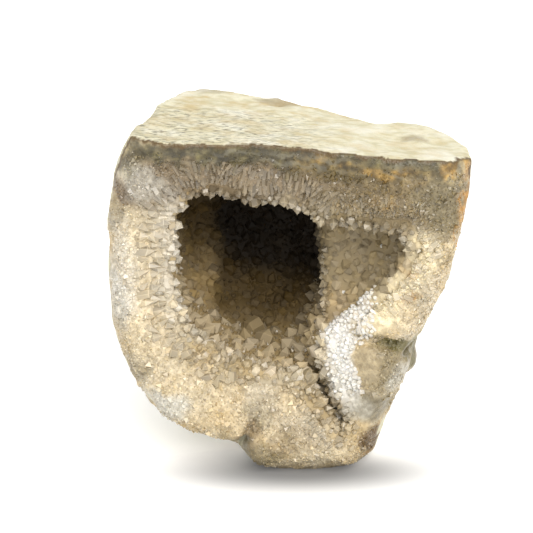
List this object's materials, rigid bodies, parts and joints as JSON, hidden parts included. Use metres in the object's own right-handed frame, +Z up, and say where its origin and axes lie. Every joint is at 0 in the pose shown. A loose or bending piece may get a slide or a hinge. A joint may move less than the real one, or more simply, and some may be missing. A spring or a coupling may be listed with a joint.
{
  "type": "geode half",
  "caption": "Hollow stone nodule broken open at the front, lined with a crust of quartz crystals; rests on a flat spot as a display specimen.",
  "frame": {"origin": "on the ground, under the middle of the stone's box", "axes": "+Z up, +X to the right seen from the open front, the open front faces -Y"},
  "size_m": [0.1106, 0.0806, 0.1087],
  "materials": {
    "stone": "weathered cream rind outside, sugary broken quartz at the front",
    "quartz": "clear to milky quartz crystals with flat bright faces"
  },
  "bodies": {
    "root": {"stone_shell": "stone", "crystal_crust": "quartz"}
  },
  "joints": []
}
